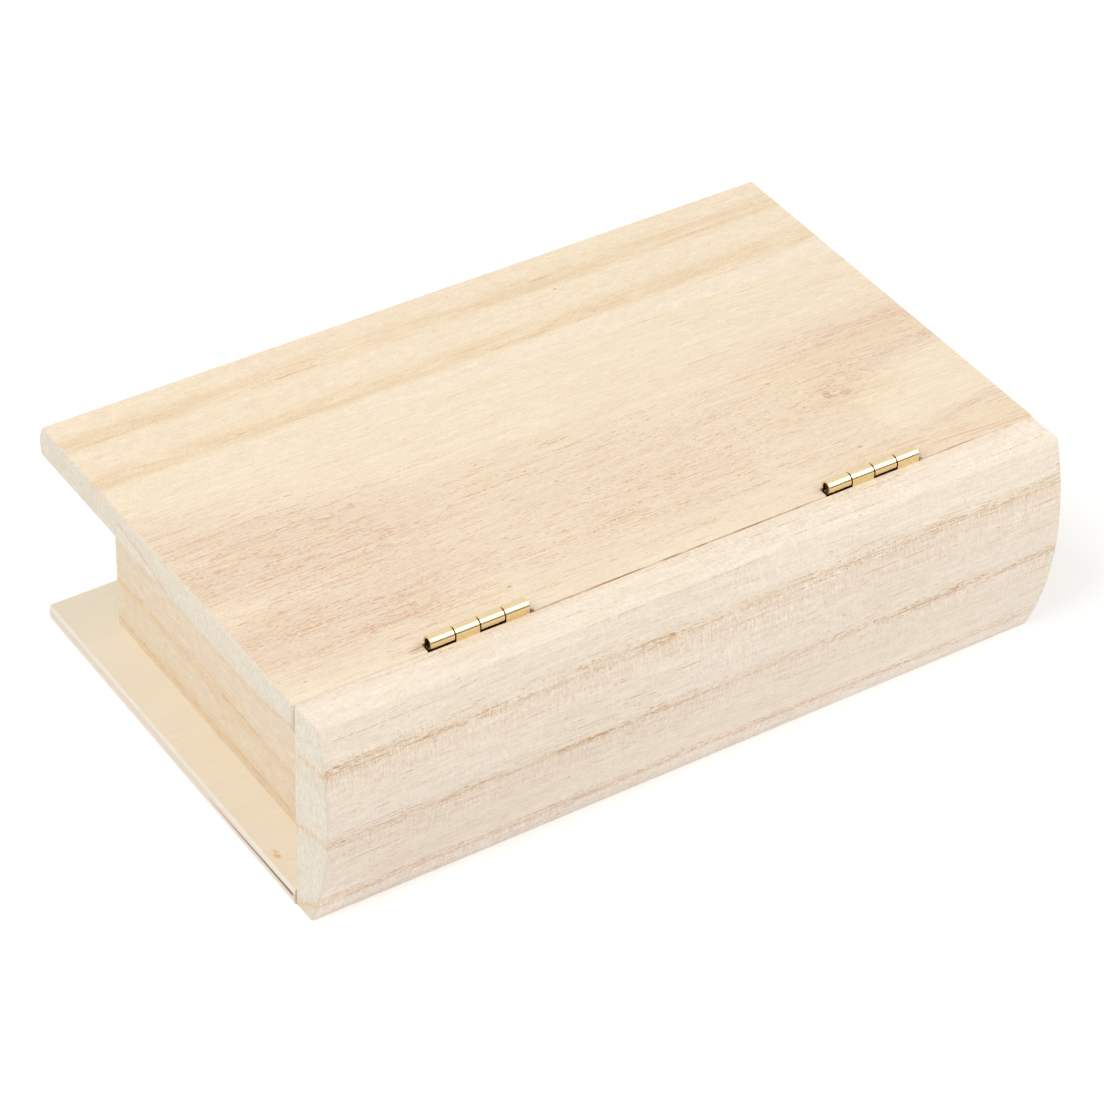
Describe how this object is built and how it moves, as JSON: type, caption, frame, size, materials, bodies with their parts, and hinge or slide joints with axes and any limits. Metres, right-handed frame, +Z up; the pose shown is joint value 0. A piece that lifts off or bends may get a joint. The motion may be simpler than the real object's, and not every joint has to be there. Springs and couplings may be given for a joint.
{
  "type": "wooden book box",
  "caption": "Flat wooden keepsake box shaped like a closed book, with a rounded solid spine, overhanging covers and a lid on small brass hinges beside the spine.",
  "frame": {"origin": "on the table under the middle of the whole box", "axes": "+X along the spine, +Y from the spine to the fore-edge, +Z up, with the box on its back cover"},
  "size_m": [0.19, 0.1232, 0.0577],
  "materials": {
    "lid_wood": "raw sanded paulownia",
    "lid_strip_wood": "raw sanded paulownia",
    "spine_wood": "raw sanded paulownia",
    "wall_wood": "raw sanded paulownia",
    "plywood": "raw sanded plywood",
    "brass": "polished",
    "brass_screw": "satin"
  },
  "bodies": {
    "box": {"spine": "spine_wood", "bottom_board": "plywood", "left_end_wall": "wall_wood", "right_end_wall": "wall_wood", "fore_edge_wall": "wall_wood", "left_hinge_spine_leaf": "brass", "left_hinge_pin": "brass", "right_hinge_spine_leaf": "brass", "right_hinge_pin": "brass", "spine_hinge_screws": "brass_screw"},
    "lid": {"lid_board": "lid_wood", "lid_fore_edge_strip": "lid_strip_wood", "left_hinge_lid_leaf": "brass", "right_hinge_lid_leaf": "brass", "lid_hinge_screws": "brass_screw"}
  },
  "joints": [
    {"name": "lid_hinge", "type": "hinge", "parent": "box", "child": "lid", "pos_m": [0, -0.04685, 0.0562], "axis": [1, 0, 0], "range_deg": [0, 190]}
  ]
}
